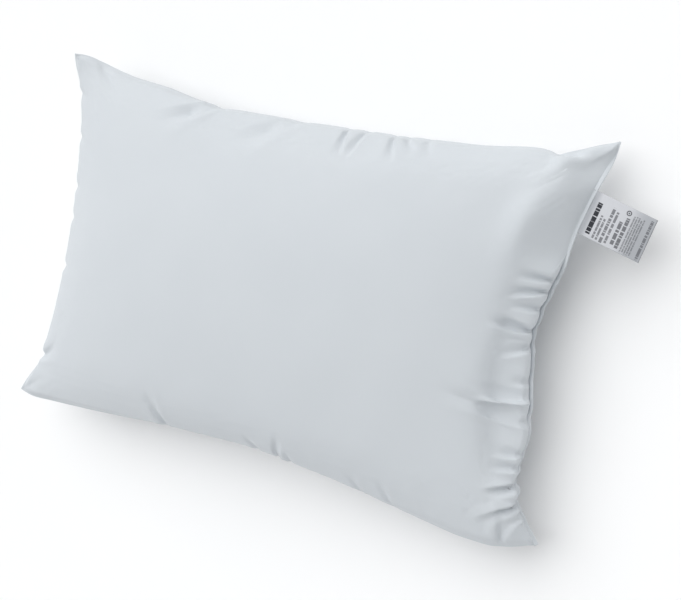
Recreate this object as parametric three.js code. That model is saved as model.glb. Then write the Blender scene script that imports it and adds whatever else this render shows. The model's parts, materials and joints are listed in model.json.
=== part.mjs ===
// A filled bed pillow lying on its back, in millimetres.
//
// +X runs along the pillow to the short side that was closed last, where the care label is sewn in.
// +Y runs across it and +Z is up. The origin is the centre of the flat face that the pillow rests on.
//
// Plan places are given in square coordinates (u, v), each from -1 to 1, in which the outline of the
// pillow is the unit square. planPoint turns them into millimetres.

import * as THREE from "three";
import { LoftGeometry } from "three/addons/geometries/LoftGeometry.js";

// The filled pillow.
const LENGTH = 756; // corner tip to corner tip, along X
const WIDTH = 470; // corner tip to corner tip, along Y
const CROWN_Z = 168; // top of the crown over the rest face
const SEAM_Z = 70; // height of the seam plane over the rest face
const PULL_IN_SHORT = 42; // how far a short side pulls in between its corners
const PULL_IN_LONG = 25; // how far a long side pulls in between its corners
const PULL_IN_POWER = 2.6; // higher keeps the pull-in even along the side, with sharper corners
const CROWN_POWER = 0.5; // lower makes the sides of the crown steeper
const BACK_FULLNESS = 1.35; // how far the back would bulge past the rest face if it lay on nothing

// The ticking and its seams.
const PLY = 1; // thickness of a panel
const ALLOWANCE = 11; // width of the edge that is folded back inside the seam
const SEAM_LIP = 1.5; // flat edge outside the turned seams
const CLOSING_LIP = 7; // flat edge outside the topstitched closing seam
const SEAM_GAP = 0.3; // space between the two panels at a turned seam
const CLOSING_GAP = 1.5; // space between the two panels at the closing seam, for the label
const LIP_TAPER_FROM = 0.86; // where along the short side the closing lip starts to narrow

// The threads.
const THREAD_R = 0.4;
const CLEARANCE = 0.3; // between pieces that touch
const TOPSTITCH_INSET = 5; // closing seam's stitch line, in from the edge
const TURNED_STITCH_INSET = 7.5; // turned seams' stitch line, in from the edge
const TOPSTITCH_END = 0.9; // where along the short side the topstitching stops
const TURNED_STITCH_END = 0.93; // where the turned seams' stitching starts, in from the closing side

// The fill.
const FILL_INSET = 20; // from the outline to the edge of the fill
const FILL_EDGE_HALF = 4; // half the height of the fill's edge

// The care label, a satin strip folded double, sewn into the closing seam by its two ends.
const LABEL_PLACE = 0.67; // v of the label's middle
const LABEL_WIDTH = 53; // along the seam
const LABEL_REACH = 68; // from its hinge line to its folded end
const LABEL_LEAF = 0.45; // thickness of one leaf
const LABEL_SPLIT = 0.3; // space between the two leaves
const LABEL_TAIL = 6; // length sewn in between the panels
const LABEL_HINGE_OUT = 2.4; // from the edge of the closing lip to the line that the label bends on

// Mesh fineness.
const SIDE_STEPS = 16; // points along each side of the outline
const CROWN_RINGS = [0, 0.2, 0.4, 0.58, 0.73, 0.85, 0.93, 0.98, 1]; // shares of the outline
const THREAD_SIDES = 6;
const STITCH_STEPS_PER_SIDE = 18;

const materials = {
  ticking: new THREE.MeshStandardMaterial({ color: 0xdadee6, roughness: 0.9, metalness: 0 }),
  tickingBack: new THREE.MeshStandardMaterial({ color: 0xd2d6df, roughness: 0.9, metalness: 0 }),
  fibre: new THREE.MeshStandardMaterial({ color: 0xf4f4f2, roughness: 1, metalness: 0 }),
  thread: new THREE.MeshStandardMaterial({ color: 0xe6e8ec, roughness: 0.7, metalness: 0 }),
  innerThread: new THREE.MeshStandardMaterial({ color: 0xdedfe2, roughness: 0.7, metalness: 0 }),
  satin: new THREE.MeshStandardMaterial({ color: 0xe4e7ee, roughness: 0.45, metalness: 0 }),
};

// How far a side has pulled in at a place t along it, where t is -1 and 1 at the corners.
function pullIn(most, t) {
  return most * (1 - Math.abs(t) ** PULL_IN_POWER);
}

function planPoint(u, v, inset = 0) {
  return new THREE.Vector2(
    u * (LENGTH / 2 - inset - pullIn(PULL_IN_SHORT, v)),
    v * (WIDTH / 2 - inset - pullIn(PULL_IN_LONG, u)),
  );
}

// The corners of the square and the points between them, counterclockwise from above.
function outlineSquare(stepsPerSide) {
  const corners = [[1, -1], [1, 1], [-1, 1], [-1, -1]];
  const points = [];
  corners.forEach(([u0, v0], side) => {
    const [u1, v1] = corners[(side + 1) % corners.length];
    for (let i = 0; i < stepsPerSide; i++) {
      const t = i / stepsPerSide;
      points.push({ u: u0 + (u1 - u0) * t, v: v0 + (v1 - v0) * t });
    }
  });
  return points;
}

// 1 along the closing side, 0 on the three turned sides, with a taper at the ends of the closing side.
function closingShare({ u, v }) {
  return u === 1 ? 1 - THREE.MathUtils.smoothstep(Math.abs(v), LIP_TAPER_FROM, 1) : 0;
}

const lipAt = (place) => THREE.MathUtils.lerp(SEAM_LIP, CLOSING_LIP, closingShare(place));
const halfGapAt = (place) => THREE.MathUtils.lerp(SEAM_GAP, CLOSING_GAP, closingShare(place)) / 2;

// The height of the crown, from 0 on the outline to 1 in the middle.
function crown(u, v) {
  return Math.max(0, (1 - u * u) * (1 - v * v)) ** CROWN_POWER;
}

// One closed ring of points, scaled from the outline by the share, at a height over the seam plane.
// A surface is skinned through rings that turn counterclockwise as seen from the last one, and closes
// at a first and a last ring that have shrunk to a point.
function ring(places, share, inset, heightAt) {
  return places.map((place) => {
    const u = place.u * share;
    const v = place.v * share;
    const { x, y } = planPoint(u, v, inset(place));
    return new THREE.Vector3(x, y, SEAM_Z + heightAt(place, u, v));
  });
}

// The same ring, started one place later than the ring before it. On the outer face of a shell this
// turns the diagonals of the triangles the way they run on the inner face, so the two stay parallel.
function startLater(points, rings) {
  const shift = (rings + 1) % points.length;
  return [...points.slice(shift), ...points.slice(0, shift)];
}

// A panel of ticking: its crown out to the edge, the allowance folded back inside, and the crown's
// inner face. side is 1 for the front and -1 for the back, which lies flat where it rests.
function panel(side) {
  const places = outlineSquare(SIDE_STEPS);
  if (side < 0) places.reverse();
  const rise = side > 0 ? CROWN_Z - SEAM_Z : SEAM_Z;
  const fullness = side > 0 ? 1 : BACK_FULLNESS;
  const flat = (offset) => (place) => side * (halfGapAt(place) + offset);
  const domed = (ply) => (place, u, v) => {
    const foot = halfGapAt(place) + PLY;
    return side * Math.min(foot + (rise * fullness - ply - foot) * crown(u, v), rise - ply);
  };
  const outer = CROWN_RINGS.map((share) => ring(places, share, lipAt, domed(0)));
  const inner = CROWN_RINGS.map((share) => ring(places, share, (place) => lipAt(place) + PLY, domed(PLY)));
  const folded = [
    ring(places, 1, () => ALLOWANCE, flat(PLY)),
    ring(places, 1, () => ALLOWANCE, flat(0)),
    ring(places, 1, () => 0, flat(0)),
    ring(places, 1, () => 0, flat(PLY)),
  ];
  return new LoftGeometry([...inner, ...folded, ...outer.reverse().map(startLater)]);
}

// The fibre fill, one solid just inside both panels.
function fill() {
  const places = outlineSquare(SIDE_STEPS);
  const share = CROWN_RINGS.filter((_, index) => index % 2 === 0);
  const half = (side) => {
    const rise = (side > 0 ? CROWN_Z - SEAM_Z : SEAM_Z) - PLY - CLEARANCE;
    const fullness = side > 0 ? 1 : BACK_FULLNESS;
    const height = (_, u, v) =>
      side * Math.min(FILL_EDGE_HALF + (rise * fullness - FILL_EDGE_HALF) * crown(u, v), rise);
    return share.map((s) => ring(places, s, () => FILL_INSET, height));
  };
  return new LoftGeometry([...half(-1), ...half(1).reverse()]);
}

// A round thread along a path.
function thread(points) {
  const section = new THREE.Shape(
    Array.from({ length: THREAD_SIDES }, (_, i) => {
      const angle = (i / THREAD_SIDES) * 2 * Math.PI;
      return new THREE.Vector2(Math.cos(angle) * THREAD_R, Math.sin(angle) * THREAD_R);
    }),
  );
  return new THREE.ExtrudeGeometry(section, {
    extrudePath: new THREE.CatmullRomCurve3(points),
    steps: points.length - 1,
  });
}

// The stitch line of the closing seam, on the outside of the lip.
function topstitchPath(side) {
  return Array.from({ length: STITCH_STEPS_PER_SIDE + 1 }, (_, i) => {
    const place = { u: 1, v: TOPSTITCH_END * ((2 * i) / STITCH_STEPS_PER_SIDE - 1) };
    const { x, y } = planPoint(place.u, place.v, TOPSTITCH_INSET);
    return new THREE.Vector3(x, y, SEAM_Z + side * (halfGapAt(place) + PLY + CLEARANCE + THREAD_R));
  });
}

// The stitch line of the three turned seams, inside the pillow on the folded allowance.
function turnedStitchPath(side) {
  const height = SEAM_Z + side * (SEAM_GAP / 2 + PLY + CLEARANCE + THREAD_R);
  const route = [
    [TURNED_STITCH_END, 1],
    [-1, 1],
    [-1, -1],
    [TURNED_STITCH_END, -1],
  ];
  const points = [];
  for (let leg = 0; leg < route.length - 1; leg++) {
    const [u0, v0] = route[leg];
    const [u1, v1] = route[leg + 1];
    const first = leg === 0 ? 0 : 1;
    for (let i = first; i <= STITCH_STEPS_PER_SIDE; i++) {
      const t = i / STITCH_STEPS_PER_SIDE;
      const { x, y } = planPoint(u0 + (u1 - u0) * t, v0 + (v1 - v0) * t, TURNED_STITCH_INSET);
      points.push(new THREE.Vector3(x, y, height));
    }
  }
  return points;
}

// A group whose +X points straight out of the closing side at the label and whose Y axis is the line
// that the label bends on.
function labelFrame() {
  const edge = planPoint(1, LABEL_PLACE);
  const alongX = PULL_IN_SHORT * PULL_IN_POWER * LABEL_PLACE ** (PULL_IN_POWER - 1);
  const lean = Math.atan2(alongX, WIDTH / 2);
  const group = new THREE.Group();
  group.rotation.z = -lean;
  group.position.set(
    edge.x + LABEL_HINGE_OUT * Math.cos(lean),
    edge.y - LABEL_HINGE_OUT * Math.sin(lean),
    SEAM_Z,
  );
  return group;
}

// The folded strip, seen from the side: two leaves that join in a round fold at the outer end.
function labelProfile() {
  const outside = LABEL_LEAF + LABEL_SPLIT / 2;
  const inside = LABEL_SPLIT / 2;
  const foldX = LABEL_REACH - outside;
  const shape = new THREE.Shape();
  shape.moveTo(0, -outside);
  shape.lineTo(foldX, -outside);
  shape.absarc(foldX, 0, outside, -Math.PI / 2, Math.PI / 2, false);
  shape.lineTo(0, outside);
  shape.lineTo(0, inside);
  shape.lineTo(foldX, inside);
  shape.absarc(foldX, 0, inside, Math.PI / 2, -Math.PI / 2, true);
  shape.lineTo(0, -inside);
  return shape;
}

// A profile in X and Z, made as wide as the label and centred on Y.
function acrossLabel(shape) {
  const geometry = new THREE.ExtrudeGeometry(shape, {
    depth: LABEL_WIDTH,
    bevelEnabled: false,
    curveSegments: 3,
  });
  geometry.rotateX(Math.PI / 2);
  geometry.translate(0, LABEL_WIDTH / 2, 0);
  return geometry;
}

// The two ends of the strip, sewn in between the panels.
function labelTail() {
  const half = CLOSING_GAP / 2 - CLEARANCE;
  const shape = new THREE.Shape([
    new THREE.Vector2(-LABEL_HINGE_OUT - LABEL_TAIL, -half),
    new THREE.Vector2(-LABEL_HINGE_OUT + 1, -half),
    new THREE.Vector2(-LABEL_HINGE_OUT + 1, half),
    new THREE.Vector2(-LABEL_HINGE_OUT - LABEL_TAIL, half),
  ]);
  return acrossLabel(shape);
}

function named(name, geometry, material) {
  const mesh = new THREE.Mesh(geometry, material);
  mesh.name = name;
  return mesh;
}

const pillow = new THREE.Group();
pillow.add(
  named("front_panel", panel(1), materials.ticking),
  named("back_panel", panel(-1), materials.tickingBack),
  named("fibre_fill", fill(), materials.fibre),
  named("closing_needle_thread", thread(topstitchPath(1)), materials.thread),
  named("closing_bobbin_thread", thread(topstitchPath(-1)), materials.thread),
  named("seam_needle_thread", thread(turnedStitchPath(1)), materials.innerThread),
  named("seam_bobbin_thread", thread(turnedStitchPath(-1)), materials.innerThread),
);

const label = labelFrame();
label.add(
  named("care_label", acrossLabel(labelProfile()), materials.satin),
  named("care_label_tail", labelTail(), materials.satin),
);
pillow.add(label);

export default pillow;
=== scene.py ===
"""Looks of a bed pillow: cloth panels blown up by simulation, filling, stitches and care label."""
import json
import math

import bmesh
import bpy
import numpy as np
from mathutils import Matrix, Vector


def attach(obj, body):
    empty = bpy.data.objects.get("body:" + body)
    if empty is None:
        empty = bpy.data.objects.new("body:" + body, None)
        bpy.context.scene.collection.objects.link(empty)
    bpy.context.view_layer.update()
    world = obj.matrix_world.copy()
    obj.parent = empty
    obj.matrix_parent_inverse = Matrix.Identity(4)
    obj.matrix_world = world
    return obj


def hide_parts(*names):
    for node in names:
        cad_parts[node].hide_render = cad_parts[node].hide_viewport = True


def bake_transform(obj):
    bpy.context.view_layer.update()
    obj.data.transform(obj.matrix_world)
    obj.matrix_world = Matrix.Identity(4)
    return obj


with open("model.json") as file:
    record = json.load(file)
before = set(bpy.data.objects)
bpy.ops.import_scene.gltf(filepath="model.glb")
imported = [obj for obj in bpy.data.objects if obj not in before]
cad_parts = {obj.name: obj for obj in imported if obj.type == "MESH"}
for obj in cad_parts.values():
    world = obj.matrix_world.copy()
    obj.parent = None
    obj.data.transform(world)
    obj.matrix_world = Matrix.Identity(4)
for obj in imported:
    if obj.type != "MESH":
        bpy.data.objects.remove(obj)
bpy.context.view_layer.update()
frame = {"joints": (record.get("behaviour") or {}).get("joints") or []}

MM = 0.001

# The cut of one panel between its seams, and the pillow's own places, in metres.
CUT = (0.80, 0.50)
HINGE = Vector(frame["joints"][0]["pos_m"])
SEAM_Z = HINGE.z

# Simulation: cell of the cloth grid, air volume that stands for the filling, frames, and how high the
# middles of the front and the back stand off the seam's plane at its start. Then the rounds that even
# out the middle of each panel.
CELL = 0.00625
VOLUME = 0.034
FRAMES = 20
FRONT_START = 0.1
BACK_START = 0.077
CALM_ROUNDS = 40

# The fine grid that the simulated one is read on: its cell, and the cell and reach beside a seam.
FINE_CELL = 0.0019
EDGE_CELL = 0.0008
EDGE_REACH = 0.008

# Corner tips: x, y from the middle and height over the seam's plane, in millimetres.
CORNERS = {
    (-1, -1): (-376, -234, 14),
    (1, -1): (372, -241, -20),
    (-1, 1): (-375, 235, 14),
    (1, 1): (368, 242, -32),
}
CORNER_LIFT_REACH = 65

# How far each seam pulls in: places along the side from -1 to 1, and millimetres inwards.
INSETS = {
    "top": (
        (-1, -0.96, -0.9, -0.85, -0.75, -0.6, -0.48, -0.35, 0, 0.3, 0.6, 0.76, 0.85, 0.89, 0.95, 1),
        (0, -1, 3, 10, 18, 24, 33, 38, 38, 36, 31, 23, 23, 19, 7, 0),
    ),
    "bottom": (
        (-1, -0.95, -0.85, -0.7, -0.55, -0.4, 0, 0.25, 0.5, 0.75, 0.9, 1),
        (0, -6, -6, -2, 3, 9, 20, 11, -1, -12, -12, 0),
    ),
    "right": (
        (-1, -0.95, -0.82, -0.7, -0.45, -0.28, -0.1, 0, 0.17, 0.27, 0.4, 0.57, 0.78, 0.9, 1),
        (0, 9, 29, 37, 31, 39, 46, 50, 45, 36, 29, 22, 8, 2, 0),
    ),
    "left": (
        (-1, -0.93, -0.8, -0.5, -0.2, 0.1, 0.4, 0.6, 0.85, 1),
        (0, 6, 18, 31, 39, 40, 32, 25, 9, 0),
    ),
}
# Which way is in, and which axis runs along each side.
INWARD = {"top": (0, -1), "bottom": (0, 1), "right": (-1, 0), "left": (1, 0)}

# The smooth plan inside the seams: its half length and half width in metres, how far the middle of each
# side draws in, in millimetres, the power of that curve, and how far in the seams' own curves reach.
PLAN_HALF = (0.378, 0.235)
PLAN_PULL = {"top": 32, "bottom": 8, "right": 46, "left": 36}
PLAN_CURVE = 2.8
PLAN_BLEND = 0.02

# Least half width of a crease in the simulated cloth, in millimetres.
ROUND_WIDTH = 7

# Creases that start at a seam: place along it (-1 to 1), lean from straight in (degrees, towards 1),
# length, half width and depth in millimetres, and the crest beside the valley: its share of the
# depth, with the sign of its side. A negative depth turns the crease into a ridge.
FRONT_FOLDS = {
    "top": (
        (-0.90, 62, 66, 8, 2.5, 0.4), (-0.37, -58, 96, 9, 5.5, -0.8), (-0.05, -56, 96, 11, 4.0, -0.7),
        (0.135, 14, 46, 4.0, 3.4, 1.1), (0.20, -6, 46, 4.0, 3.0, 1.1), (0.30, 26, 44, 4.0, 3.2, 1.1),
        (0.345, 46, 34, 4.0, 2.8, 1.1), (0.42, 30, 34, 5, 1.5, 0.5), (0.84, 74, 72, 8, 10.0, 0.5),
    ),
    "right": (
        (0.325, 3, 40, 4.0, 4.5, 0.9), (0.265, -12, 46, 4.0, 5.0, 1.5), (0.17, 4, 34, 4.0, 3.5, 1.1),
        (0.055, 6, 60, 4.5, 5.5, 1.5), (-0.02, -22, 40, 4.0, 3.5, 1.2), (-0.19, 0, 20, 4, 2.5, 1.0),
        (-0.275, -16, 76, 6.0, -6.5, -0.5), (-0.38, 8, 112, 5.5, 6.0, 0.0), (-0.54, -12, 34, 4.0, 3.0, 1.3),
        (-0.61, -14, 40, 4.0, 3.5, 1.3), (-0.69, -28, 60, 4.0, 5.5, -1.4), (-0.79, -30, 80, 3.8, 6.0, -1.2),
        (-0.85, -38, 60, 3.8, 4.5, 1.3), (-0.91, -50, 66, 4.5, 5.0, 1.3),
    ),
    "bottom": (
        (-0.345, -28, 66, 6, 3.5, 0.5), (0.03, -22, 36, 4.5, 2.5, 0.6), (0.10, 16, 54, 4.5, 3.0, 0.7),
        (0.155, 2, 30, 4.5, 2.0, 0.6), (0.42, -24, 30, 5, 2.0, 0.6), (0.53, -20, 34, 5, 2.0, 0.6),
        (0.90, 20, 46, 6, 3.0, 0.6),
    ),
    "left": (
        (0.79, -10, 28, 7, 1.2, 0.3), (0.55, -14, 30, 7, 1.4, 0.3), (0.26, 4, 34, 7, 1.6, 0.3),
        (0.085, -6, 30, 7, 1.4, 0.3), (-0.21, 10, 34, 7, 1.6, 0.3), (-0.77, 28, 52, 7, 3.5, 0.4),
    ),
}
BACK_FOLDS = {
    "top": (
        (-0.66, 30, 74, 10, 5.5, 0.5), (-0.24, -20, 60, 8, 5.5, 0.5), (0.16, 15, 64, 9, 5.5, 0.5),
        (0.56, -30, 74, 10, 5.5, 0.5),
    ),
    "right": (
        (0.72, 20, 44, 8, 4.5, 0.5), (0.26, 4, 60, 8, 5.5, 0.5), (0.0, -10, 54, 7, 6.0, 0.5),
        (-0.36, 8, 74, 9, 6.5, 0.5), (-0.68, -20, 54, 8, 5.5, 0.5),
    ),
    "bottom": ((-0.40, 20, 64, 9, 5.5, 0.5), (0.05, -10, 64, 9, 5.5, 0.5), (0.48, 15, 54, 9, 4.5, 0.5)),
    "left": ((0.47, 10, 54, 8, 5.0, 0.5), (0.04, -8, 54, 8, 5.0, 0.5), (-0.51, -15, 60, 9, 5.5, 0.5)),
}

# Swells and troughs of the front beside a seam: side, place along it (-1 to 1), then reach along it,
# distance from it, width and height in millimetres.
SWELLS = (
    ("right", -0.12, 60, 30, 21, -7.0), ("right", -0.46, 66, 28, 24, -8.5), ("right", 0.20, 50, 30, 18, -4.0),
    ("right", 0.62, 54, 54, 24, 10.0), ("right", 0.90, 26, 40, 20, 5.0),
    ("right", 0.90, 18, 12, 10, -3.0), ("top", 0.91, 20, 8, 8, 2.0),
    ("top", -0.22, 60, 34, 18, -3.0), ("top", 0.18, 50, 30, 18, -3.0),
)

# How far the closing side's puffs bulge out over their seam, and how far from it, in millimetres, and
# the back's share of that.
BULGE = 7.2
BULGE_REACH = 7.0
BACK_BULGE = 0.4

# Beside the label the faces rise evenly from the seam: their rise over run, and their rounding.
FLANK_SLOPE = 1.2
FLANK_ROUND = 2.5

# The cloth rolls up beside every seam: how high, and how far from it, in millimetres.
ROLL_RISE = 1.0
ROLL_REACH = 4.0

# Closing lip and turned seams: rows beyond the seam, out and up from it, in millimetres. The lip folds
# down by LIP_DROP along its lower part, and its stitches lie on row STITCH_ROW.
LIP_ROWS = (
    (0.7, 0.45), (1.5, 1.1), (2.8, 1.6), (4.4, 1.6), (5.7, 1.2), (6.4, 0.7),
    (6.4, 0.4), (5.0, 0.3), (1.0, 0.3), (-6.0, 0.3),
)
TURNED_ROWS = ((0.35, 0.3), (0.25, 0.1), (-0.6, 0.08), (-4.0, 0.08), (-9.0, 0.08))
BORDER_UP = 0.6
LIP_DROP = math.radians(70)
STITCH_ROW = 0

# Thickness of the ticking, and each stitch: pitch, length and radius, in metres. The turned seams'
# stitches lie inside the pillow, this far from the edge and off the seam's plane.
TICKING = 0.35 * MM
STITCH_PITCH = 0.003
STITCH_LENGTH = 0.0024
STITCH_RADIUS = 0.00024
TURNED_INSET = 7.5 * MM
TURNED_RISE = 0.6 * MM


# ---------------------------------------------------------------- small tools

def fade(x, low, high):
    """0 at low, 1 at high, smooth between them."""
    t = np.clip((x - low) / (high - low), 0, 1)
    return t * t * (3 - 2 * t)


def spline_rows(count, places):
    """Weights that read a smooth curve through even points at places from 0 to count - 1."""
    weights = np.zeros((len(places), count + 2))
    cell = np.minimum(places.astype(int), count - 2)
    t = places - cell
    cubic = (
        -0.5 * t + t * t - 0.5 * t**3,
        1 - 2.5 * t * t + 1.5 * t**3,
        0.5 * t + 2 * t * t - 1.5 * t**3,
        -0.5 * t * t + 0.5 * t**3,
    )
    for step, value in enumerate(cubic):
        weights[np.arange(len(places)), cell + step] = value
    weights[:, 1] += 2 * weights[:, 0]
    weights[:, 2] -= weights[:, 0]
    weights[:, -2] += 2 * weights[:, -1]
    weights[:, -3] -= weights[:, -1]
    return weights[:, 1:-1]


def resample(grid, rows, columns):
    """A grid of points read at other rows and columns, along smooth curves."""
    across = spline_rows(grid.shape[1], columns)
    down = spline_rows(grid.shape[0], rows)
    return np.einsum("ia,jb,abk->ijk", down, across, grid, optimize=True)


def noise_line(places, wavelength, seed):
    """Smooth random values along a line, about -1 to 1."""
    rng = np.random.default_rng(seed)
    reach = places / wavelength
    reach = reach - reach.min()
    values = rng.uniform(-1, 1, int(reach.max()) + 4)
    return spline_rows(len(values), reach) @ values


def noise_sheet(shape, size, wavelength, seed):
    """Smooth random values over a sheet, about -1 to 1."""
    rng = np.random.default_rng(seed)
    knots = [max(4, int(s / wavelength) + 2) for s in (size[1], size[0])]
    values = rng.uniform(-1, 1, knots)[..., None]
    rows = np.linspace(0, knots[0] - 1, shape[0])
    columns = np.linspace(0, knots[1] - 1, shape[1])
    return resample(values, rows, columns)[..., 0]


def normals(grid):
    """Unit normals of a grid of points whose rows run along y and columns along x."""
    across = np.gradient(grid, axis=1)
    down = np.gradient(grid, axis=0)
    normal = np.cross(across, down)
    return normal / np.maximum(np.linalg.norm(normal, axis=2, keepdims=True), 1e-12)


def quads(index, flip=False):
    """Faces of a grid of point numbers."""
    corners = (index[:-1, :-1], index[:-1, 1:], index[1:, 1:], index[1:, :-1])
    faces = np.stack(corners, -1).reshape(-1, 4)
    return faces[:, ::-1] if flip else faces


def mesh_object(name, points, faces, uv=None):
    """A mesh object of points and faces, with one texture place per point."""
    mesh = bpy.data.meshes.new(name)
    mesh.from_pydata(np.asarray(points).tolist(), [], [list(map(int, f)) for f in faces])
    mesh.update()
    if uv is not None:
        layer = mesh.uv_layers.new(name="cut")
        corner = np.empty(len(mesh.loops), int)
        mesh.loops.foreach_get("vertex_index", corner)
        layer.data.foreach_set("uv", np.asarray(uv)[corner].astype(np.float32).ravel())
    mesh.polygons.foreach_set("use_smooth", [True] * len(mesh.polygons))
    obj = bpy.data.objects.new(name, mesh)
    bpy.context.scene.collection.objects.link(obj)
    return obj


def square(name, half):
    """A flat square on the floor."""
    points = [(-half, -half, 0), (half, -half, 0), (half, half, 0), (-half, half, 0)]
    return mesh_object(name, points, [(0, 1, 2, 3)])


# ---------------------------------------------------------------- camera

# The photograph's camera, fitted to the corner tips: its right and back vectors, place and lens.
CAMERA_RIGHT = (0.8896, 0.1831, -0.4184)
CAMERA_BACK = (0.4028, 0.1171, 0.9077)
CAMERA_PLACE = (0.7072, 0.1758, 1.4298 + SEAM_Z)
CAMERA_LENS = 66.9


def make_camera():
    """The photograph's view: high over the far side, turned a little."""
    right = Vector(CAMERA_RIGHT).normalized()
    back = Vector(CAMERA_BACK).normalized()
    up = back.cross(right)
    turn = Matrix((right, up, back)).transposed().to_4x4()
    data = bpy.data.cameras.new("camera")
    data.sensor_width = 36
    data.lens = CAMERA_LENS
    camera = bpy.data.objects.new("camera", data)
    camera.matrix_world = Matrix.Translation(CAMERA_PLACE) @ turn
    bpy.context.scene.collection.objects.link(camera)
    bpy.context.scene.camera = camera


# ---------------------------------------------------------------- seams and folds

def side_frame(side):
    """Way in, way along, and the middle of one side of the cut."""
    inward = np.array(INWARD[side], float)
    along = np.abs(inward[::-1])
    return inward, along, -inward * np.array(CUT) / 2, float(along @ np.array(CUT)) / 2


def fold_height(x, y, folds, sharp):
    """Height of the creases at places of the cut, in metres: round ones, or sharp at the bottom."""
    height = np.zeros_like(x)
    for side, rows in folds.items():
        inward, along_axis, edge, half = side_frame(side)
        for place, lean, length, width, depth, crest in rows:
            turn = math.radians(lean)
            width = width if sharp else max(width, ROUND_WIDTH)
            way = inward * math.cos(turn) + along_axis * math.sin(turn)
            start = edge + along_axis * place * half
            dx, dy = x - start[0], y - start[1]
            along = (dx * way[0] + dy * way[1]) / (length * MM)
            across = (dy * way[0] - dx * way[1]) / (width * MM)
            across = across / (0.55 + 0.8 * np.clip(along, 0, 1.3))
            late = 0.2 if length > 90 else -0.15
            opening = fade(along, late, late + 0.25)
            if sharp:
                relief = abs(crest) * np.exp(-np.abs((across * np.sign(crest) - 1.3) / 0.75) ** 1.25)
                relief -= np.exp(-np.abs(across) ** 1.25) * opening
            else:
                relief = -np.exp(-across**2) * opening
            relief += 0.25 * np.exp(-(((np.abs(across) - 2.4) / 1.1) ** 2))
            run = fade(along, -0.15, 0.16) * (1 - fade(along, 0.3, 1.1))
            height += depth * MM * relief * run
    tip_gap = np.hypot(CUT[0] / 2 - np.abs(x), CUT[1] / 2 - np.abs(y))
    return height * fade(tip_gap, 0.01, 0.05)


def swell_height(x, y):
    """Height of the swells and troughs beside the seams at places of the cut."""
    height = np.zeros_like(x)
    for side, place, reach, distance, width, rise in SWELLS:
        inward, along_axis, edge, half = side_frame(side)
        start = edge + along_axis * place * half
        dx, dy = x - start[0], y - start[1]
        along = (dx * along_axis[0] + dy * along_axis[1]) / (reach * MM)
        across = ((dx * inward[0] + dy * inward[1]) / MM - distance) / width
        height += rise * MM * np.exp(-(along**2) - across**2)
    return height


def corner(sx, sy):
    """A corner tip, over the seam's plane."""
    return np.array(CORNERS[(sx, sy)]) * MM


def seam_line(side, t):
    """Points of one side's seam for t from -1 to 1, with its gathers and notches."""
    inward = np.array(INWARD[side], float)
    flat = side in ("top", "bottom")
    half = CUT[0 if flat else 1] / 2
    fixed = -int(inward[1] if flat else inward[0])
    first, last = (corner(-1, fixed), corner(1, fixed)) if flat else (corner(fixed, -1), corner(fixed, 1))
    fine = np.linspace(-1, 1, 4001)
    density = np.ones_like(fine)
    for place, _, _, width, depth, _ in FRONT_FOLDS[side]:
        near = np.exp(-(((fine - place) * half / (width * 1.2 * MM)) ** 2))
        density -= np.clip(0.05 * depth, 0, 0.35) * near
    run = np.concatenate([[0], np.cumsum(np.clip(density, 0.45, None))[:-1]])
    place_on = np.interp(t, fine, run / run[-1] * 2 - 1)
    knots, values = INSETS[side]
    raw = np.interp(fine, knots, values)
    kernel = np.exp(-np.linspace(-2.5, 2.5, 241) ** 2)
    padded = np.pad(raw, 120, mode="reflect", reflect_type="odd")
    inset = np.interp(place_on, fine, np.convolve(padded, kernel / kernel.sum(), "valid"))
    lift = np.zeros_like(t)
    for number, (place, _, _, width, depth, _) in enumerate(FRONT_FOLDS[side]):
        bump = np.exp(-np.abs((place_on - place) * half / (width * 1.3 * MM)) ** 1.4)
        inset = inset + 0.45 * max(depth, 0) * bump * (abs(place) < 0.93)
        lift = lift + (0.2 if number % 2 else -0.2) * depth * MM * bump
    share = ((place_on + 1) / 2)[:, None]
    line = first * (1 - share) + last * share
    line[:, 2] = lift * (1 - np.abs(place_on) ** 8)
    for end, tip in ((-1, first), (1, last)):
        line[:, 2] += tip[2] * (1 - fade(np.abs(place_on - end) * half, 0, CORNER_LIFT_REACH * MM))
    line[:, :2] += inward * (inset * MM)[:, None]
    return line


# ---------------------------------------------------------------- cloth

def weld_grid(nx, ny):
    """Point numbers of the front and back grids, which share their border."""
    front = np.arange((ny + 1) * (nx + 1)).reshape(ny + 1, nx + 1)
    back = front.copy()
    back[1:-1, 1:-1] = front.size + np.arange((ny - 1) * (nx - 1)).reshape(ny - 1, nx - 1)
    return front, back


def seam_surface(u, v):
    """Plan of the pillow: each seam's own curve near it, and a smooth one inside."""
    top, bottom = seam_line("top", u), seam_line("bottom", u)
    right, left = seam_line("right", v), seam_line("left", v)
    a, b = ((u + 1) / 2)[None, :, None], ((v + 1) / 2)[:, None, None]
    tips = [[corner(sx, sy) for sx in (-1, 1)] for sy in (-1, 1)]
    near = (1 - b) * bottom[None] + b * top[None] + (1 - a) * left[:, None] + a * right[:, None]
    near = near - (
        (1 - a) * (1 - b) * tips[0][0] + a * (1 - b) * tips[0][1]
        + (1 - a) * b * tips[1][0] + a * b * tips[1][1]
    )
    uu, vv = np.meshgrid(u, v)
    pull_x = np.where(uu > 0, PLAN_PULL["right"], PLAN_PULL["left"]) * (1 - np.abs(vv) ** PLAN_CURVE)
    pull_y = np.where(vv > 0, PLAN_PULL["top"], PLAN_PULL["bottom"]) * (1 - np.abs(uu) ** PLAN_CURVE)
    inside = np.stack([uu * (PLAN_HALF[0] - pull_x * MM), vv * (PLAN_HALF[1] - pull_y * MM), 0 * uu], -1)
    gap = edge_gap(uu, vv)[..., None]
    share = np.exp(-gap / PLAN_BLEND)
    return near * share + inside * (1 - share)


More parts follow.
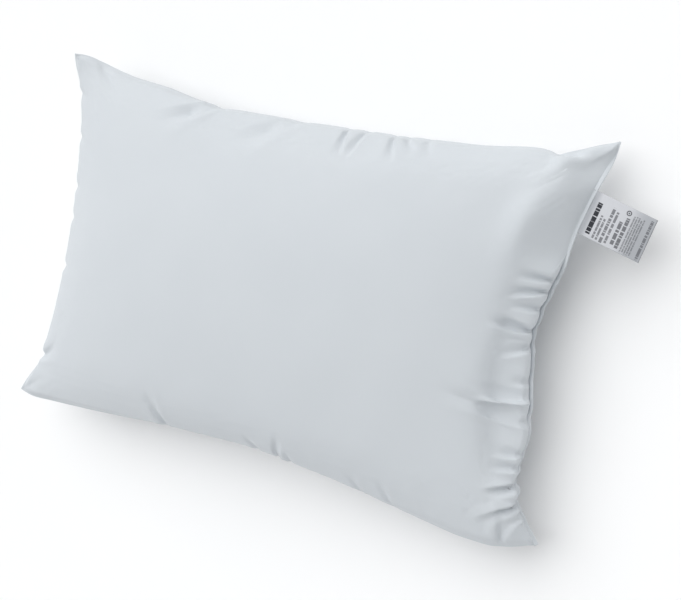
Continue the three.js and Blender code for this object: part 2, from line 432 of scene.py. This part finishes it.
def edge_gap(uu, vv):
    """Distance on the cut to the nearest seam."""
    return np.minimum((1 - np.abs(uu)) * CUT[0] / 2, (1 - np.abs(vv)) * CUT[1] / 2)


def start_shapes(nx, ny):
    """Flat cut with its folds, and the blown-up shape that the simulation starts from."""
    u, v = np.linspace(-1, 1, nx + 1), np.linspace(-1, 1, ny + 1)
    uu, vv = np.meshgrid(u, v)
    plan = seam_surface(u, v)
    crown = np.sqrt(np.clip((1 - uu**2) * (1 - vv**2), 0, None))
    x, y = uu * CUT[0] / 2, vv * CUT[1] / 2
    shapes = []
    for way, height, folds in ((1, FRONT_START, FRONT_FOLDS), (-1, BACK_START, BACK_FOLDS)):
        relief = 0.5 * fold_height(x, y, folds, False)
        shape = plan.copy()
        shape[..., 2] += way * crown * height
        inner = np.clip(edge_gap(uu, vv) / 0.006, 0, 1)
        shape = shape + normals(shape) * (way * relief * inner)[..., None]
        shape[..., 2] = np.maximum(shape[..., 2], 0.002 - SEAM_Z)
        shapes.append((np.stack([x, y, way * relief * inner], -1), shape))
    return shapes


def inflate(nx, ny):
    """The two sewn panels blown up to the filling's volume on the floor: front and back grids."""
    front, back = weld_grid(nx, ny)
    (front_cut, front_start), (back_cut, back_start) = start_shapes(nx, ny)
    flat, start = np.zeros((back.max() + 1, 3)), np.zeros((back.max() + 1, 3))
    for grid, cut_shape, start_shape in ((back, back_cut, back_start), (front, front_cut, front_start)):
        flat[grid] = cut_shape
        start[grid] = start_shape
    bag = mesh_object("cloth_bag", flat, np.concatenate([quads(front), quads(back, True)]))
    bag.location.z = SEAM_Z
    bag.shape_key_add(name="cut")
    key = bag.shape_key_add(name="start")
    key.data.foreach_set("co", start.ravel())
    key.value = 1.0
    floor = square("cloth_floor", 2)
    floor.modifiers.new("collision", "COLLISION")
    floor.collision.thickness_outer = 0.001
    floor.collision.cloth_friction = 0
    seam = bag.vertex_groups.new(name="seam")
    border = np.unique(np.concatenate([front[0], front[-1], front[:, 0], front[:, -1]]))
    seam.add(border.tolist(), 1.0, "REPLACE")
    cloth = bag.modifiers.new("cloth", "CLOTH")
    cloth_settings(cloth, nx * ny)
    scene = bpy.context.scene
    for number in range(1, FRAMES + 1):
        scene.frame_set(number)
    result = bag.evaluated_get(bpy.context.evaluated_depsgraph_get())
    points = np.empty(len(flat) * 3)
    result.data.vertices.foreach_get("co", points)
    points = points.reshape(-1, 3)
    scene.frame_set(1)
    for helper in (bag, floor):
        bpy.data.objects.remove(helper)
    return points[front], points[back]


def cloth_settings(cloth, cells):
    """A tight cotton weave held at its seams and blown up to a set volume."""
    settings = cloth.settings
    settings.rest_shape_key = cloth.id_data.data.shape_keys.key_blocks["cut"]
    settings.quality = 5
    settings.mass = 1.2 / cells
    settings.tension_stiffness = 40
    settings.compression_stiffness = 20
    settings.shear_stiffness = 10
    settings.bending_stiffness = 0.06
    settings.tension_damping = 5
    settings.compression_damping = 5
    settings.shear_damping = 5
    settings.bending_damping = 0.5
    settings.air_damping = 2
    settings.use_pressure = True
    settings.uniform_pressure_force = 0
    settings.use_pressure_volume = True
    settings.target_volume = VOLUME
    settings.pressure_factor = 20
    settings.effector_weights.gravity = 0
    settings.vertex_group_mass = "seam"
    cloth.collision_settings.use_collision = True
    cloth.collision_settings.distance_min = 0.001
    cloth.point_cache.frame_end = FRAMES


def calm_middle(grid):
    """Evens out small ripples away from the seams and leaves the folds near them."""
    ny, nx = grid.shape[0] - 1, grid.shape[1] - 1
    uu, vv = np.meshgrid(np.linspace(-1, 1, nx + 1), np.linspace(-1, 1, ny + 1))
    weight = (fade(edge_gap(uu, vv), 0.05, 0.12) * 0.9)[1:-1, 1:-1, None]
    grid = grid.copy()
    for _ in range(CALM_ROUNDS):
        mean = (grid[:-2, 1:-1] + grid[2:, 1:-1] + grid[1:-1, :-2] + grid[1:-1, 2:]) / 4
        grid[1:-1, 1:-1] += weight * (mean - grid[1:-1, 1:-1])
    return grid


# ---------------------------------------------------------------- panels

def fine_places(length):
    """Places from -1 to 1 across the cut, closer together beside the seams."""
    edge = np.arange(0, EDGE_REACH, EDGE_CELL)
    count = round((length - 2 * EDGE_REACH) / FINE_CELL)
    middle = np.linspace(EDGE_REACH, length - EDGE_REACH, count)
    return np.concatenate([edge, middle, length - edge[::-1]]) * 2 / length - 1


def bulge(uu, vv, way):
    """How far the cloth beside the closing hangs out over it: least where a crease draws it in."""
    depth = (1 - uu) * CUT[0] / 2 / (BULGE_REACH * MM)
    size = 1.2 - 0.25 * fade(vv, -0.4, -0.2) - 0.9 * fade(vv, 0.34, 0.5)
    size *= 1 - fade(np.abs(vv), 0.80, 0.97)
    for place, _, _, _, deep, _ in FRONT_FOLDS["right"]:
        near = np.exp(-np.abs((vv - place) * CUT[1] / 2 / (6 * MM)) ** 1.5)
        size = size * (1 - 0.5 * np.clip(deep / 5, 0, 1) * near)
    return BULGE * MM * size * depth * np.exp(1 - depth) * (1 if way > 0 else BACK_BULGE)


def fine_panel(grid, way, folds, seed):
    """A simulated face on a fine grid, with creases, stitch puckers and a little unevenness."""
    u, v = fine_places(CUT[0]), fine_places(CUT[1])
    columns = (u + 1) / 2 * (grid.shape[1] - 1)
    rows = (v + 1) / 2 * (grid.shape[0] - 1)
    fine = resample(calm_middle(grid), rows, columns)
    uu, vv = np.meshgrid(u, v)
    fine[..., 0] += bulge(uu, vv, way)
    x, y = uu * CUT[0] / 2, vv * CUT[1] / 2
    gap = edge_gap(uu, vv)
    relief = 0.85 * fold_height(x, y, folds, True) + (swell_height(x, y) if way > 0 else 0)
    relief += roll_height(uu, vv)
    relief += 0.7 * MM * noise_sheet(uu.shape, CUT, 0.07, seed) * fade(gap, 0.0, 0.08)
    near_seam = fade(gap, 0.0, 0.03) * (1 - fade(gap, 0.05, 0.12))
    relief += 0.25 * MM * noise_sheet(uu.shape, CUT, 0.02, seed + 1) * near_seam
    relief += pucker(uu, vv, seed)
    relief *= fade(gap, 0, 0.006)
    fine = fine + normals(fine) * (way * relief)[..., None]
    even_flank(fine, vv, way)
    fine[..., 2] = np.maximum(fine[..., 2], -SEAM_Z + 0.0004)
    return fine, np.stack([x, y], -1)


def even_flank(fine, vv, way):
    """Cuts off the swell beside the label, so that the label can fold over either face."""
    seam = fine[:, -1:]
    run = np.maximum(seam[..., 0] - fine[..., 0], 0)
    height = way * (fine[..., 2] - seam[..., 2])
    extra = np.clip((height - FLANK_SLOPE * run) / (FLANK_ROUND * MM), -30, 30)
    share = fade(vv, 0.36, 0.5) * (1 - fade(vv, 0.86, 0.97)) * fade(run, 0, 0.0015)
    fine[..., 2] -= way * share * FLANK_ROUND * MM * np.log1p(np.exp(extra))


def keep_apart(front, back):
    """Lifts the front face wherever a deep crease would pass through the back face."""
    uu, vv = np.meshgrid(fine_places(CUT[0]), fine_places(CUT[1]))
    least = back[..., 2] + 2 * MM * fade(edge_gap(uu, vv), 0, 0.012)
    front[..., 2] = np.maximum(front[..., 2], least)


def roll_height(uu, vv):
    """The cloth rolls up steeply beside every seam."""
    height = np.zeros_like(uu)
    for across, size in ((uu, CUT[0]), (vv, CUT[1])):
        for sign in (-1, 1):
            turn = (1 - sign * across) * size / 2 / (ROLL_REACH * MM)
            height = np.maximum(height, ROLL_RISE * MM * turn * np.exp(1 - turn))
    return height


def pucker(uu, vv, seed):
    """Small waves that the stitches draw into the cloth along every seam."""
    waves = np.zeros_like(uu)
    for across, along, long_axis, short_axis in ((uu, vv, 1, 0), (vv, uu, 0, 1)):
        for sign in (-1, 1):
            depth = (1 - sign * across) * CUT[short_axis] / 2
            run = np.unique(along) * CUT[long_axis] / 2
            wave = noise_line(run, 0.0065, seed + 10 + sign + long_axis * 4)
            strength = 0.6 + 0.4 * noise_line(run, 0.06, seed + 20 + sign + long_axis * 4)
            line = np.interp(along * CUT[long_axis] / 2, run, wave * strength)
            waves += 0.55 * MM * line * np.exp(-depth / 0.011)
    return waves


def outward(line):
    """Flat unit vectors that point out of the pillow along a border line."""
    tangent = np.gradient(line, axis=0)
    side = np.stack([tangent[:, 1], -tangent[:, 0]], -1)
    kernel = np.ones(9) / 9
    side = np.stack([np.convolve(np.pad(c, 4, mode="edge"), kernel, "valid") for c in side.T], -1)
    side /= np.linalg.norm(side, axis=1, keepdims=True)
    flip = np.sign((side * line[:, :2]).sum()) or 1
    return np.column_stack([side * flip, np.zeros(len(line))])


def strip_points(line, way, rows, share, wave, drop):
    """Rows of cloth beyond a seam line: the closing lip, or an edge turned inside."""
    out = outward(line)
    points = []
    for reach, rise in rows:
        far = reach * MM * share
        high = way * rise * MM * (0.4 + 0.6 * share)
        row = line + out * (far * np.cos(drop) + high * np.sin(drop))[:, None]
        row[:, 2] += high * np.cos(drop) - far * np.sin(drop) + wave * np.clip(reach / 4, 0, 1)
        points.append(row)
    return np.array(points)


def lip_share(t):
    """The closing lip is full along the side and narrows towards both corners."""
    return 0.88 - 0.4 * fade(t, 0.36, 0.5) - 0.3 * fade(np.abs(t), 0.84, 0.99)


def panel(name, fine, cut, way):
    """One cloth panel with its turned edges and closing lip, as a thin solid sheet."""
    ny, nx = fine.shape[:2]
    index = np.arange(ny * nx).reshape(ny, nx)
    face_points, face_places = fine.reshape(-1, 3), cut.reshape(-1, 2)
    points, places, faces = [face_points.copy()], [face_places], [quads(index)]
    total = ny * nx
    borders = {"right": index[:, -1], "left": index[:, 0], "top": index[-1], "bottom": index[0]}
    lines = {}
    for side, border in borders.items():
        line = face_points[border]
        t = fine_places(CUT[0] if side in ("top", "bottom") else CUT[1])
        if side == "right":
            rows, share = LIP_ROWS, lip_share(t)
            wave = 0.5 * MM * noise_line(t * 0.25, 0.011, 77)
            drop = LIP_DROP * (1 - fade(t, -0.42, -0.26))
        else:
            rows, share = TURNED_ROWS, 1 - 0.85 * fade(np.abs(t), 0.93, 1)
            wave = drop = 0 * t
        strip = strip_points(line, way, rows, share, wave, drop)
        lines[side] = (line, strip)
        out = -np.array(INWARD[side])
        for number, (reach, _) in enumerate(rows):
            places.append(face_places[border] + out * (0.0005 + 0.0015 * number + abs(reach) * MM))
        points.append(strip.reshape(-1, 3))
        numbers = total + np.arange(strip[..., 0].size).reshape(strip.shape[:2])
        faces.append(quads(np.concatenate([border[None], numbers])))
        total += numbers.size
    points[0][np.unique(np.concatenate(list(borders.values()))), 2] += way * BORDER_UP * MM
    obj = mesh_object(name, np.concatenate(points), np.concatenate(faces), np.concatenate(places))
    obj.location.z = SEAM_Z
    face_outwards(obj, way)
    body = obj.modifiers.new("cloth body", "SOLIDIFY")
    body.thickness = TICKING
    body.offset = -1
    body.use_even_offset = False
    return obj, lines


def face_outwards(obj, way):
    """Turns all faces of a panel out of the pillow, the strips of its borders with them."""
    mesh = obj.data
    b = bmesh.new()
    b.from_mesh(mesh)
    bmesh.ops.recalc_face_normals(b, faces=b.faces)
    b.faces.ensure_lookup_table()
    middle = min(b.faces, key=lambda f: f.calc_center_median().xy.length)
    if middle.normal.z * way < 0:
        bmesh.ops.reverse_faces(b, faces=b.faces)
    b.to_mesh(mesh)
    b.free()


# ---------------------------------------------------------------- stitches

def stitches(name, path, up):
    """Single stitches along a path: short rounded threads whose ends dip into the cloth."""
    step = np.concatenate([[0], np.cumsum(np.linalg.norm(np.diff(path, axis=0), axis=1))])
    centres = np.arange(STITCH_PITCH, step[-1] - STITCH_PITCH, STITCH_PITCH)
    sides, rings = 6, 7
    share = np.linspace(-1, 1, rings)
    size = STITCH_RADIUS * np.sqrt(np.clip(1.02 - share**4, 0.05, 1))
    angle = np.linspace(0, 2 * math.pi, sides, endpoint=False)
    points, faces, places = [], [], []
    for number, centre in enumerate(centres):
        places_on = centre + share / 2 * STITCH_LENGTH
        spine = np.stack([np.interp(places_on, step, path[:, k]) for k in range(3)], -1)
        spine[:, 2] += up * (STITCH_RADIUS * 0.6 - 0.55 * MM * np.abs(share) ** 3)
        way = spine[-1] - spine[0]
        way /= np.linalg.norm(way)
        side = np.cross(way, (0, 0, 1))
        side /= np.linalg.norm(side)
        top = np.cross(side, way)
        ring = np.cos(angle)[None, :, None] * side + np.sin(angle)[None, :, None] * top
        points.append((spine[:, None] + ring * size[:, None, None]).reshape(-1, 3))
        grid = (number * rings * sides) + np.arange(rings * sides).reshape(rings, sides)
        grid = np.column_stack([grid, grid[:, 0]])
        faces += quads(grid).tolist()
        faces += [grid[0, :-1].tolist(), grid[-1, :-1][::-1].tolist()]
        uv = np.stack(np.meshgrid(angle / (2 * math.pi), places_on), -1)
        places.append(uv.reshape(-1, 2))
    obj = mesh_object(name, np.concatenate(points), faces, np.concatenate(places))
    obj.location.z = SEAM_Z
    return obj


def turned_path(lines, way):
    """Where the stitches of the three turned seams run, a little inside the pillow."""
    line = np.concatenate([lines["top"][0][::-1], lines["left"][0][::-1], lines["bottom"][0]])
    inwards = line.mean(0) - line
    inwards[:, 2] = 0
    path = line + inwards / np.linalg.norm(inwards, axis=1, keepdims=True) * TURNED_INSET
    path[:, 2] += way * TURNED_RISE
    return path[30:-30:4]


# ---------------------------------------------------------------- filling

# The filling's reach and cells along and across, its depth under the cloth with its lumps, in metres,
# the most of the local thickness that the depth takes, and how far its rim stands out.
FILL_SHARE = (0.955, 0.93)
FILL_CELLS = (90, 56)
FILL_DEPTH = 10 * MM
FILL_LUMPS = 0.8 * MM
FILL_MOST = 0.3
FILL_RIM = 3 * MM

def filling(front, back):
    """Lumpy body of fibre just inside the two panels."""
    places = [
        np.interp(np.linspace(-share, share, cells + 1), fine, np.arange(len(fine)))
        for share, cells, fine in zip(FILL_SHARE, FILL_CELLS, map(fine_places, CUT))
    ]
    sides = [resample(grid, places[1], places[0]) for grid in (front, back)]
    room = FILL_MOST * np.linalg.norm(sides[0] - sides[1], axis=2)
    shells = []
    for face, way, seed in ((sides[0], 1, 31), (sides[1], -1, 32)):
        depth = FILL_DEPTH + FILL_LUMPS * noise_sheet(face.shape[:2], CUT, 0.03, seed)
        shells.append(face - normals(face) * (way * np.minimum(depth, room))[..., None])
    top, bottom = shells
    index = np.arange(top[..., 0].size).reshape(top.shape[:2])
    ring = np.concatenate([index[0, :-1], index[:-1, -1], index[-1, :0:-1], index[:0:-1, 0]])
    rim = ((top + bottom) / 2).reshape(-1, 3)[ring]
    out = rim * np.array([1, 1, 0])
    rim = rim + out / np.linalg.norm(out, axis=1, keepdims=True) * FILL_RIM
    strips = np.stack([ring, 2 * index.size + np.arange(len(ring)), ring + index.size])
    strips = np.column_stack([strips, strips[:, 0]])
    faces = np.concatenate([quads(index), quads(index + index.size, True), quads(strips, True)])
    points = np.concatenate([top.reshape(-1, 3), bottom.reshape(-1, 3), rim])
    obj = mesh_object("filling_fibre", points, faces)
    obj.location.z = SEAM_Z
    return obj


# ---------------------------------------------------------------- care label

# Width, length outside the seam, length sewn in, half the space between the leaves, satin's thickness.
LABEL_WIDTH = 0.053
LABEL_REACH = 0.078
LABEL_TAIL = 0.007
LABEL_GAP = 0.22 * MM
SATIN = 0.12 * MM
# At its free end: how far the label droops, how far it lies to one side, its wave across, its wave along,
# how far one corner lifts.
DROOP = 4.4 * MM
SWAY = 2 * MM
WAVE_ACROSS = 1.6 * MM
WAVE_ALONG = 0.8 * MM
CORNER_CURL = 1.3 * MM


def label_strip():
    """One satin ribbon folded in half: both ends in the closing, the fold outside."""
    axis = Vector(frame["joints"][0]["axis"]).normalized()
    out = axis.cross(Vector((0, 0, 1))).normalized()
    if out.x < 0:
        out = -out
    side = Vector((0, 0, 1)).cross(out)
    rows, columns = 120, 54
    half = LABEL_REACH + LABEL_TAIL
    run = np.linspace(0, 2 * half, rows + 1)
    upper = run <= half
    reach = np.where(upper, run, 2 * half - run) - LABEL_TAIL
    nearness = np.clip(1 - np.abs(run - half) / 0.0012, 0, 1)
    gap = LABEL_GAP * np.sqrt(1 - nearness**2 * 0.999)
    across = np.linspace(-0.5, 0.5, columns + 1)
    rr, aa = np.meshgrid(reach, across, indexing="ij")
    free = np.clip(rr / LABEL_REACH, 0, 1)
    lift = WAVE_ACROSS * np.sin(aa * math.pi * 1.1 + 0.4) * free - DROOP * free**2
    lift += WAVE_ALONG * np.sin(rr * 70) * free + CORNER_CURL * free**3 * (aa > 0) * aa * 2
    lift += np.where(upper, gap, -gap)[:, None] * (1 + 1.6 * free * np.cos(aa * math.pi))
    shift = aa * LABEL_WIDTH * (1 - 0.01 * free) - SWAY * free
    points = np.array(HINGE) + rr[..., None] * np.array(out) + shift[..., None] * np.array(side)
    points[..., 2] += lift
    places = np.stack([rr, aa * LABEL_WIDTH], -1)
    index = np.arange(points[..., 0].size).reshape(points.shape[:2])
    obj = mesh_object("label_ribbon", points.reshape(-1, 3), quads(index), places.reshape(-1, 2))
    body = obj.modifiers.new("ribbon body", "SOLIDIFY")
    body.thickness = SATIN
    body.offset = 0
    return obj, out


# ---------------------------------------------------------------- materials

class Shader:
    """Short words for building a node material."""

    def __init__(self, name):
        self.material = bpy.data.materials.new(name)
        self.material.use_nodes = True
        self.tree = self.material.node_tree
        self.surface = self.tree.nodes["Principled BSDF"]

    def node(self, kind, inputs=None, **settings):
        made = self.tree.nodes.new(kind)
        for key, value in settings.items():
            setattr(made, key, value)
        for key, value in (inputs or {}).items():
            self.put(made.inputs[key], value)
        return made

    def put(self, socket, value):
        if isinstance(value, bpy.types.NodeSocket):
            self.tree.links.new(value, socket)
        else:
            socket.default_value = value

    def math(self, operation, a, b=0.0, c=0.0):
        return self.node("ShaderNodeMath", {0: a, 1: b, 2: c}, operation=operation).outputs[0]

    def set(self, **values):
        for key, value in values.items():
            self.put(self.surface.inputs[key.replace("_", " ")], value)

    def ramp(self, value, low, high):
        """0 below low and 1 above high, both in millimetres, smooth between them."""
        inputs = {"Value": value, "From Min": low * MM, "From Max": high * MM}
        return self.node("ShaderNodeMapRange", inputs, interpolation_type="SMOOTHSTEP").outputs[0]

    def cut_place(self):
        place = self.node("ShaderNodeUVMap", uv_map="cut").outputs[0]
        parts = self.node("ShaderNodeSeparateXYZ", {0: place})
        return place, parts.outputs[0], parts.outputs[1]

    def noise(self, place, scale, detail=2.0, stretch=(1, 1, 1)):
        moved = self.node("ShaderNodeMapping", {"Vector": place, "Scale": stretch}).outputs[0]
        return self.node("ShaderNodeTexNoise", {"Vector": moved, "Scale": scale, "Detail": detail}).outputs[0]

    def mix(self, share, first, second):
        made = self.node("ShaderNodeMix", data_type="RGBA")
        self.put(made.inputs[0], share)
        self.put(made.inputs[6], first)
        self.put(made.inputs[7], second)
        return made.outputs[2]

    def bump(self, height, strength, distance, normal=None):
        made = self.node("ShaderNodeBump", {"Height": height, "Strength": strength, "Distance": distance})
        if normal is not None:
            self.put(made.inputs["Normal"], normal)
        return made.outputs[0]


# Pitch of the weave, twist of the sewing thread and ribs of the satin, in metres.
THREAD_PITCH = 0.00045
THREAD_TWIST = 0.0008
SATIN_RIB = 0.0005


def weave(shader, x, y, pitch):
    """Over and under of a plain weave: 0 in the gaps, 1 on top of a thread."""
    turn = 2 * math.pi / pitch
    warp = shader.math("SINE", shader.math("MULTIPLY", x, turn))
    weft = shader.math("SINE", shader.math("MULTIPLY", y, turn))
    return shader.math("MULTIPLY_ADD", shader.math("MULTIPLY", warp, weft), 0.5, 0.5)


def ticking_material():
    """Close-woven white cotton with thread-to-thread unevenness."""
    s = Shader("ticking")
    place, x, y = s.cut_place()
    threads = weave(s, x, y, THREAD_PITCH)
    warp_slub = s.noise(place, 1.0, 3.0, (1400, 45, 1))
    weft_slub = s.noise(place, 1.0, 3.0, (45, 1400, 1))
    slub = s.math("MULTIPLY_ADD", s.math("ADD", warp_slub, weft_slub), 0.5, 0.0)
    broad = s.noise(place, 7.0, 2.0)
    cloth = s.mix(broad, (0.575, 0.610, 0.640, 1), (0.610, 0.643, 0.670, 1))
    tone = s.math("MULTIPLY_ADD", slub, 0.16, 0.0)
    cloth = s.mix(tone, cloth, (0.80, 0.81, 0.83, 1))
    cloth = s.mix(s.math("MULTIPLY", threads, 0.08), cloth, (0.55, 0.58, 0.63, 1))
    height = s.bump(threads, 0.25, 0.06 * MM)
    height = s.bump(slub, 0.5, 0.12 * MM, height)
    s.set(Base_Color=cloth, Roughness=0.88, Normal=height)
    s.set(Sheen_Weight=0.18, Sheen_Roughness=0.45, Specular_IOR_Level=0.25)
    return s.material


def fibre_material():
    """White hollow fibre: soft tangled strands."""
    s = Shader("fibre")
    place = s.node("ShaderNodeTexCoord").outputs["Object"]
    strands = s.noise(place, 900.0, 4.0, (1, 0.25, 1))
    clumps = s.noise(place, 60.0, 3.0)
    s.set(Base_Color=s.mix(clumps, (0.78, 0.79, 0.80, 1), (0.86, 0.86, 0.86, 1)), Roughness=0.95)
    s.set(Normal=s.bump(strands, 0.7, 0.4 * MM), Sheen_Weight=0.3)
    return s.material


def thread_material():
    """Twisted white sewing thread, darker in the grooves of its twist as painted shade."""
    s = Shader("thread")
    _, x, y = s.cut_place()
    around = s.math("MULTIPLY", x, 2 * math.pi)
    twist = s.math("SINE", s.math("MULTIPLY_ADD", y, 2 * math.pi / THREAD_TWIST, around))
    share = s.math("MULTIPLY_ADD", twist, 0.5, 0.5)
    # Painted shade: the darker tone lies in the twist's grooves, where the bump is low.
    s.set(Base_Color=s.mix(share, (0.50, 0.53, 0.58, 1), (0.74, 0.76, 0.79, 1)), Roughness=0.6)
    s.set(Normal=s.bump(share, 0.6, 0.06 * MM), Sheen_Weight=0.1)
    return s.material


# Printed rows of the label, in millimetres: distance from the seam, half height, first and last place
# across, dash size, then ink from 0 to 1.
PRINT_ROWS = (
    (12.0, 2.8, -22, 16, 1.7, 1.0),
    (19.5, 1.3, -24, 4, 1.9, 0.65),
    (23.8, 1.3, -25, 2, 1.9, 0.65),
    (29.2, 1.8, -25, 18, 2.3, 0.68),
    (34.6, 1.5, -23, 15, 2.1, 0.65),
    (42.0, 2.1, -21, 7, 3.0, 0.72),
    (48.0, 2.1, -23, 14, 3.0, 0.72),
    (53.6, 0.9, -25, 19, 1.5, 0.5),
    (56.4, 0.9, -24, 20, 1.5, 0.5),
    (59.2, 0.9, -25, 20, 1.5, 0.5),
    (62.0, 0.9, -25, 18, 1.5, 0.5),
    (64.8, 0.9, -24, 20, 1.5, 0.5),
    (73.6, 1.7, -25, 23, 2.0, 0.6),
)
# How much of a row is dashes: lower is more.
DASH_FROM = 0.39
# The plain round mark: distance from the seam and place across, ring's and dot's radii, ink.
MARK_PLACE = (46, 19.5)
MARK_RING = (1.9, 3.1)
MARK_DOT = 1.0
MARK_INK = 0.85
# The label's ground is light between these two fades from the seam. Nearer the seam it is greyer as painted
# shade of the seam; further out it is greyer as painted shade where the label bends away from the light,
# together with fine print too small to draw.
SEAM_SHADE_FADE = (4.0, 12.0)
FAR_SHADE_PRINT_FADE = (42.0, 68.0)


def within(s, value, low, high):
    """1 where value lies between low and high."""
    return s.math("MULTIPLY", s.math("GREATER_THAN", value, low), s.math("LESS_THAN", value, high))


def satin_material():
    """White satin ribbon with rows of printed dashes, which spell nothing, and a plain round mark."""
    s = Shader("satin")
    place, x, y = s.cut_place()
    ink = None
    for number, (centre, half, low, high, dash, strength) in enumerate(PRINT_ROWS):
        band = within(s, x, (centre - half) * MM, (centre + half) * MM)
        row = s.math("MULTIPLY", band, within(s, y, low * MM, high * MM))
        turn = s.math("MULTIPLY_ADD", y, 1 / (dash * MM), 13.7 * number)
        line = s.node("ShaderNodeTexNoise", {"W": turn, "Scale": 1.0, "Detail": 1.0}, noise_dimensions="1D")
        dashes = s.math("GREATER_THAN", line.outputs[0], DASH_FROM)
        row = s.math("MULTIPLY", row, s.math("MULTIPLY", dashes, strength))
        ink = row if ink is None else s.math("ADD", ink, row)
    dx = s.math("SUBTRACT", x, MARK_PLACE[0] * MM)
    dy = s.math("SUBTRACT", y, MARK_PLACE[1] * MM)
    ring = s.math("SQRT", s.math("ADD", s.math("MULTIPLY", dx, dx), s.math("MULTIPLY", dy, dy)))
    mark = (within(s, ring, MARK_RING[0] * MM, MARK_RING[1] * MM), s.math("LESS_THAN", ring, MARK_DOT * MM))
    for shape in mark:
        ink = s.math("ADD", ink, s.math("MULTIPLY", shape, MARK_INK))
    grain = s.noise(place, 1.0, 2.0, (2500, 160, 1))
    # Painted shade: the ground greys next to the seam, and at the far end where the label bends away from the
    # light, there together with fine print too small to draw.
    light_ground_share = s.math("MULTIPLY", s.ramp(x, *SEAM_SHADE_FADE), s.math("SUBTRACT", 1.0, s.ramp(x, *FAR_SHADE_PRINT_FADE)))
    shade_print_grey = s.mix(grain, (0.38, 0.395, 0.42, 1), (0.44, 0.455, 0.485, 1))
    cloth = s.mix(light_ground_share, shade_print_grey, s.mix(grain, (0.55, 0.56, 0.59, 1), (0.63, 0.64, 0.67, 1)))
    cloth = s.mix(s.math("MINIMUM", ink, 1.0), cloth, (0.02, 0.022, 0.03, 1))
    ribs = s.math("SINE", s.math("MULTIPLY", x, 2 * math.pi / SATIN_RIB))
    s.set(Base_Color=cloth, Roughness=0.5, Normal=s.bump(ribs, 0.15, 0.03 * MM))
    s.set(Sheen_Weight=0.04, Anisotropic=0.4, Specular_IOR_Level=0.3)
    return s.material


def floor_material():
    """Plain pale studio paper."""
    s = Shader("floor")
    place = s.node("ShaderNodeTexCoord").outputs["Object"]
    tone = s.mix(s.noise(place, 3.0), (0.93, 0.935, 0.94, 1), (0.95, 0.95, 0.95, 1))
    s.set(Base_Color=tone, Roughness=0.9)
    return s.material


# ---------------------------------------------------------------- studio

def sun_light(name, way, power, spread):
    """A far, very wide soft light that comes from the given direction; its spread in degrees."""
    data = bpy.data.lights.new(name, "SUN")
    data.energy = power
    data.angle = math.radians(spread)
    lamp = bpy.data.objects.new(name, data)
    lamp.rotation_mode = "QUATERNION"
    lamp.rotation_quaternion = Vector(way).to_track_quat("Z", "Y")
    bpy.context.scene.collection.objects.link(lamp)


# Studio lights: the way each comes from, its power and its spread in degrees. Then the sky's tone and power.
KEY_SUN = ((-0.42, 0.52, 1.0), 2.29, 70)
FILL_SUN = ((0.0, -1.0, 0.55), 0.3, 80)
SKY_TONE = (0.97, 0.985, 1.0, 1)
SKY_POWER = 0.39

# Studio paper: flat up to this distance, then curved up at this radius by this angle, in metres.
PAPER_FLAT = 8
PAPER_CURVE = 5
PAPER_ANGLE = math.radians(72)


def studio_paper():
    """A flat floor that curves up far away all round, so that low views end in pale paper too."""
    rows, columns = 24, 160
    turn = np.linspace(0, 2 * math.pi, columns, endpoint=False)
    rise = np.linspace(0, PAPER_ANGLE, rows)[:, None]
    reach = PAPER_FLAT + PAPER_CURVE * np.sin(rise)
    height = PAPER_CURVE * (1 - np.cos(rise)) + 0 * turn
    points = np.stack([reach * np.cos(turn), reach * np.sin(turn), height], -1)
    index = np.arange(rows * columns).reshape(rows, columns)
    faces = quads(np.column_stack([index, index[:, 0]]), True).tolist() + [index[0].tolist()]
    return mesh_object("floor", points.reshape(-1, 3), faces)


def studio():
    """Pale floor, a large soft light from the back left and a weak one from the front."""
    floor = studio_paper()
    floor.location.z = -0.5 * MM
    floor.data.materials.append(floor_material())
    sun_light("key", *KEY_SUN)
    sun_light("fill", *FILL_SUN)
    world = bpy.data.worlds.new("studio")
    bpy.context.scene.world = world
    world.use_nodes = True
    world.node_tree.nodes["Background"].inputs["Color"].default_value = SKY_TONE
    world.node_tree.nodes["Background"].inputs["Strength"].default_value = SKY_POWER
    bpy.context.scene.view_settings.view_transform = "Standard"


# ---------------------------------------------------------------- assembly

def dress(obj, material, slot, *nodes):
    """Gives a piece its finish and hides the CAD nodes it stands for."""
    obj.data.materials.append(material)
    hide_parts(*nodes)


make_camera()
front_grid, back_grid = inflate(round(CUT[0] / CELL), round(CUT[1] / CELL))
front_fine, cut = fine_panel(front_grid, 1, FRONT_FOLDS, 100)
back_fine, _ = fine_panel(back_grid, -1, BACK_FOLDS, 200)
keep_apart(front_fine, back_fine)
front_panel, front_lines = panel("panel_front", front_fine, cut, 1)
back_panel, back_lines = panel("panel_back", back_fine, cut, -1)
fibre = filling(front_fine, back_fine)
label, label_out = label_strip()

ticking, thread = ticking_material(), thread_material()
dress(front_panel, ticking, "ticking", "front_panel")
dress(back_panel, ticking, "ticking", "back_panel")
dress(fibre, fibre_material(), "fibre", "fibre_fill")
dress(label, satin_material(), "satin", "care_label", "care_label_tail")

for name, lines, way in (("needle", front_lines, 1), ("bobbin", back_lines, -1)):
    closing = stitches("stitches_closing_" + name, lines["right"][1][STITCH_ROW][4:-4], way)
    dress(closing, thread, "thread", "closing_" + name + "_thread")
    inner = stitches("stitches_seam_" + name, turned_path(lines, way), way)
    dress(inner, thread, "thread", "seam_" + name + "_thread")
    for obj in (closing, inner):
        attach(obj, "pillow")

for obj in (front_panel, back_panel, fibre):
    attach(obj, "pillow")
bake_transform(label)

studio()
